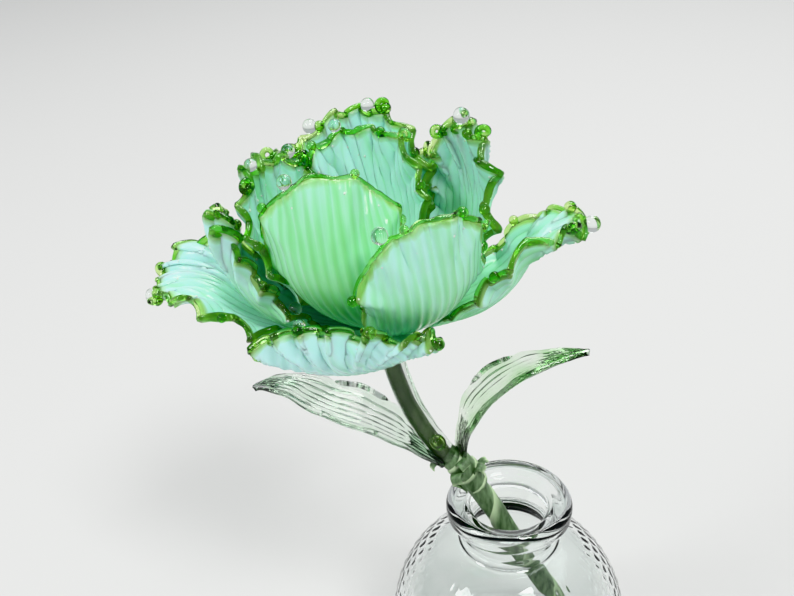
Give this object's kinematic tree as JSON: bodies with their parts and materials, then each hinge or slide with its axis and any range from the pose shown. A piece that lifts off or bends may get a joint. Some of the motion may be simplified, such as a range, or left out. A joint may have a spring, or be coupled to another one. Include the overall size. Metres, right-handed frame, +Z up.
{
  "type": "bud vase with glass flower",
  "caption": "Small clear glass bottle bud vase with a flared lip, holding a leaning lampworked green glass flower with ruffled petals, dewdrops and two clear leaves.",
  "frame": {"origin": "centre of the bottle's foot, on the surface it stands on", "axes": "+Z up along the bottle's axis; the flower leans towards -X; +Y is away from the side the flower is viewed from"},
  "size_m": [0.1196, 0.0661, 0.1781],
  "materials": {
    "bottle_glass": "clear pressed glass with a faint grey-green tint",
    "petal_glass": "milky mint-green opal glass, ribbed and fire-polished",
    "rim_glass": "transparent deep green glass trail",
    "clear_glass": "clear glass, fire-polished",
    "leaf_glass": "clear ribbed glass with a trace of green",
    "core_glass": "olive green glass",
    "florist_tape": "crinkled waxed florist's tape",
    "stem_wire": "florist's wire"
  },
  "bodies": {
    "vase": {"bottle": "bottle_glass"},
    "flower": {"dewdrop_back_inner_tip": "clear_glass", "dewdrop_back_outer_left": "clear_glass", "dewdrop_back_outer_right": "clear_glass", "dewdrop_front_left": "clear_glass", "dewdrop_front_low_tip": "clear_glass", "dewdrop_front_right_left": "clear_glass", "dewdrop_left_inner_edge": "clear_glass", "dewdrop_left_inner_tip": "clear_glass", "dewdrop_left_middle_edge": "clear_glass", "dewdrop_left_outer_edge": "clear_glass", "dewdrop_left_outer_tip": "clear_glass", "dewdrop_right_outer_tip": "clear_glass", "dewdrop_right_top_tip": "clear_glass", "heart": "petal_glass", "leaf_binding_tape": "florist_tape", "left_leaf": "leaf_glass", "lower_stem_tape": "florist_tape", "lower_stem_wire": "stem_wire", "petal_back_inner": "petal_glass", "petal_back_left": "petal_glass", "petal_back_outer": "petal_glass", "petal_back_right": "petal_glass", "petal_front": "petal_glass", "petal_front_low": "petal_glass", "petal_front_right": "petal_glass", "petal_left_inner": "petal_glass", "petal_left_middle": "petal_glass", "petal_left_outer": "petal_glass", "petal_right_outer": "petal_glass", "petal_right_top": "petal_glass", "right_leaf": "leaf_glass", "rim_back_inner": "rim_glass", "rim_back_left": "rim_glass", "rim_back_outer": "rim_glass", "rim_back_right": "rim_glass", "rim_front": "rim_glass", "rim_front_low": "rim_glass", "rim_front_right": "rim_glass", "rim_left_inner": "rim_glass", "rim_left_middle": "rim_glass", "rim_left_outer": "rim_glass", "rim_right_outer": "rim_glass", "rim_right_top": "rim_glass", "stem_casing": "clear_glass", "stem_core": "core_glass"}
  },
  "joints": [
    {"name": "flower_lift", "type": "slide", "parent": "vase", "child": "flower", "axis": [-0.4571, 0, 0.8894], "range_m": [0, 0.08]}
  ]
}
